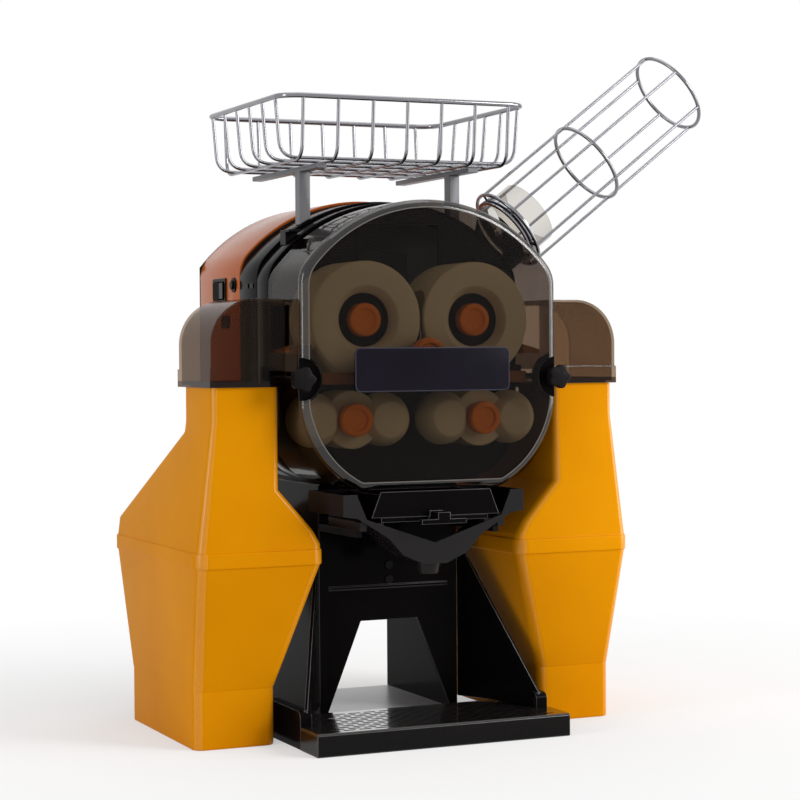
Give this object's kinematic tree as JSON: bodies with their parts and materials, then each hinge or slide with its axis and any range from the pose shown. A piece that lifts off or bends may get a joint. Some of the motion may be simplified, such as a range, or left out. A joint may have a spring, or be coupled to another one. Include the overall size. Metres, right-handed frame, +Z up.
{
  "type": "automatic orange juicer",
  "caption": "Countertop automatic orange juicer with squeezing drums behind a smoked cover, wire basket and feed tube on top, waste bins at both sides, juice tank and drip tray.",
  "frame": {"origin": "on the counter, in the machine's plane of symmetry, under the front cover's back edge", "axes": "+X to the viewer's right when facing the machine's front, +Y to the back, +Z up"},
  "size_m": [0.7404, 0.4015, 0.8531],
  "materials": {
    "black_plastic": "gloss",
    "orange_plastic": "gloss",
    "amber_plastic": "satin",
    "smoked_plastic": "gloss, see-through",
    "dark_window": "gloss",
    "violet_plate": "satin",
    "grey_metal": "satin",
    "white_plastic": "matte",
    "steel": "brushed",
    "brown_plastic": "satin",
    "orange_knob": "gloss",
    "chrome_wire": "polished",
    "light_metal": "satin",
    "rubber": "matte",
    "dark_box": "matte",
    "ivory_plastic": "satin"
  },
  "bodies": {
    "machine": {"front_frame": "black_plastic", "collar": "black_plastic", "rear_housing": "orange_plastic", "rear_panel": "black_plastic", "chamber_back_plate": "violet_plate", "gear_plates": "grey_metal", "shaft_bushings": "white_plastic", "knife_holder": "white_plastic", "knife": "steel", "front_bar": "brown_plastic", "peel_ejectors": "brown_plastic", "feed_neck": "black_plastic", "orange_chute": "orange_plastic", "basket_stand": "grey_metal", "base_plate": "light_metal", "rubber_feet": "rubber", "stand_panel": "black_plastic", "stand_screws": "steel", "stand_sides": "black_plastic", "tank_runners": "black_plastic", "stand_wings": "black_plastic", "switch_bezels": "black_plastic", "side_lamps": "dark_window", "cover_sensor": "black_plastic", "mains_inlet": "black_plastic", "panel_screws": "steel", "gear_motor": "grey_metal", "control_box": "dark_box"},
    "pinion": {"motor_pinion": "steel"},
    "middle_knob": {"centre_knob": "orange_knob"},
    "cover": {"front_cover": "smoked_plastic", "label_plate": "black_plastic", "cover_brackets": "black_plastic"},
    "left_cover_knob": {"cover_knob_left": "black_plastic"},
    "right_cover_knob": {"cover_knob_right": "black_plastic"},
    "fruit_basket": {"basket": "chrome_wire"},
    "tube": {"feed_tube": "chrome_wire"},
    "tank": {"juice_tank": "black_plastic"},
    "drawer": {"filter_drawer": "black_plastic", "filter_mesh": "steel"},
    "tray": {"drip_tray": "black_plastic"},
    "grid": {"drip_grid": "black_plastic"},
    "rocker": {"rocker_switch": "black_plastic"},
    "button": {"stop_button": "black_plastic"},
    "left_upper_drum": {"upper_drum_left": "ivory_plastic", "upper_shaft_left": "steel"},
    "left_upper_knob": {"upper_knob_left": "orange_knob"},
    "right_upper_drum": {"upper_drum_right": "ivory_plastic", "upper_shaft_right": "steel"},
    "right_upper_knob": {"upper_knob_right": "orange_knob"},
    "left_lower_drum": {"lower_drum_left": "ivory_plastic", "lower_shaft_left": "steel"},
    "left_lower_knob": {"lower_knob_left": "orange_knob"},
    "right_lower_drum": {"lower_drum_right": "ivory_plastic", "lower_shaft_right": "steel"},
    "right_lower_knob": {"lower_knob_right": "orange_knob"},
    "left_bin": {"waste_bin_left": "amber_plastic"},
    "left_lid": {"side_cover_left": "smoked_plastic"},
    "right_bin": {"waste_bin_right": "amber_plastic"},
    "right_lid": {"side_cover_right": "smoked_plastic"}
  },
  "joints": [
    {"name": "upper_drum_left_turn", "type": "hinge", "parent": "machine", "child": "left_upper_drum", "pos_m": [-0.072, 0, 0.5045], "axis": [0, 1, 0], "continuous": true},
    {"name": "upper_knob_left_turn", "type": "hinge", "parent": "left_upper_drum", "child": "left_upper_knob", "pos_m": [-0.072, 0, 0.5045], "axis": [0, 1, 0], "continuous": true},
    {"name": "upper_drum_right_turn", "type": "hinge", "parent": "machine", "child": "right_upper_drum", "pos_m": [0.072, 0, 0.5045], "axis": [0, 1, 0], "continuous": true},
    {"name": "upper_knob_right_turn", "type": "hinge", "parent": "right_upper_drum", "child": "right_upper_knob", "pos_m": [0.072, 0, 0.5045], "axis": [0, 1, 0], "continuous": true},
    {"name": "lower_drum_left_turn", "type": "hinge", "parent": "machine", "child": "left_lower_drum", "pos_m": [-0.08465, 0, 0.38517], "axis": [0, 1, 0], "continuous": true},
    {"name": "lower_knob_left_turn", "type": "hinge", "parent": "left_lower_drum", "child": "left_lower_knob", "pos_m": [-0.08465, 0, 0.38517], "axis": [0, 1, 0], "continuous": true},
    {"name": "lower_drum_right_turn", "type": "hinge", "parent": "machine", "child": "right_lower_drum", "pos_m": [0.08465, 0, 0.38517], "axis": [0, 1, 0], "continuous": true},
    {"name": "lower_knob_right_turn", "type": "hinge", "parent": "right_lower_drum", "child": "right_lower_knob", "pos_m": [0.08465, 0, 0.38517], "axis": [0, 1, 0], "continuous": true},
    {"name": "motor_pinion_turn", "type": "hinge", "parent": "machine", "child": "pinion", "pos_m": [-0.0297, 0, 0.41777], "axis": [0, 1, 0], "continuous": true},
    {"name": "centre_knob_turn", "type": "hinge", "parent": "machine", "child": "middle_knob", "pos_m": [0, 0, 0.463], "axis": [0, 1, 0], "continuous": true},
    {"name": "front_cover_slide", "type": "slide", "parent": "machine", "child": "cover", "axis": [0, -1, 0], "range_m": [0, 0.12]},
    {"name": "cover_knob_left_turn", "type": "hinge", "parent": "cover", "child": "left_cover_knob", "pos_m": [-0.167, 0, 0.4346], "axis": [0, 1, 0], "continuous": true},
    {"name": "waste_bin_left_slide", "type": "slide", "parent": "machine", "child": "left_bin", "axis": [-1, 0, 0], "range_m": [0, 0.15]},
    {"name": "side_cover_left_lift", "type": "slide", "parent": "left_bin", "child": "left_lid", "axis": [0, 0, 1], "range_m": [0, 0.12]},
    {"name": "cover_knob_right_turn", "type": "hinge", "parent": "cover", "child": "right_cover_knob", "pos_m": [0.167, 0, 0.4346], "axis": [0, 1, 0], "continuous": true},
    {"name": "waste_bin_right_slide", "type": "slide", "parent": "machine", "child": "right_bin", "axis": [1, 0, 0], "range_m": [0, 0.15]},
    {"name": "side_cover_right_lift", "type": "slide", "parent": "right_bin", "child": "right_lid", "axis": [0, 0, 1], "range_m": [0, 0.03]},
    {"name": "basket_lift", "type": "slide", "parent": "machine", "child": "fruit_basket", "axis": [0, 0, 1], "range_m": [0, 0.1]},
    {"name": "feed_tube_slide", "type": "slide", "parent": "machine", "child": "tube", "axis": [0.7917, 0, 0.611], "range_m": [0, 0.1]},
    {"name": "juice_tank_slide", "type": "slide", "parent": "machine", "child": "tank", "axis": [0, -1, 0], "range_m": [0, 0.12]},
    {"name": "filter_drawer_slide", "type": "slide", "parent": "tank", "child": "drawer", "axis": [0, -1, 0], "range_m": [0, 0.09]},
    {"name": "drip_tray_slide", "type": "slide", "parent": "machine", "child": "tray", "axis": [0, -1, 0], "range_m": [0, 0.1]},
    {"name": "drip_grid_slide", "type": "slide", "parent": "tray", "child": "grid", "axis": [0, -1, 0], "range_m": [0, 0.09]},
    {"name": "rocker_switch_tilt", "type": "hinge", "parent": "machine", "child": "rocker", "pos_m": [-0.16525, 0.1855, 0.545], "axis": [0, 0, 1], "range_deg": [-8, 8]},
    {"name": "stop_button_push", "type": "slide", "parent": "machine", "child": "button", "axis": [1, 0, 0], "range_m": [0, 0.003], "stiffness_N_per_m": 300, "springref_m": -0.0005}
  ],
  "couplings": [
    {"joint": "upper_drum_right_turn", "follows": "upper_drum_left_turn", "ratio": -1},
    {"joint": "lower_drum_left_turn", "follows": "upper_drum_left_turn", "ratio": -1},
    {"joint": "lower_drum_right_turn", "follows": "upper_drum_left_turn", "ratio": 1},
    {"joint": "motor_pinion_turn", "follows": "upper_drum_left_turn", "ratio": -3}
  ]
}
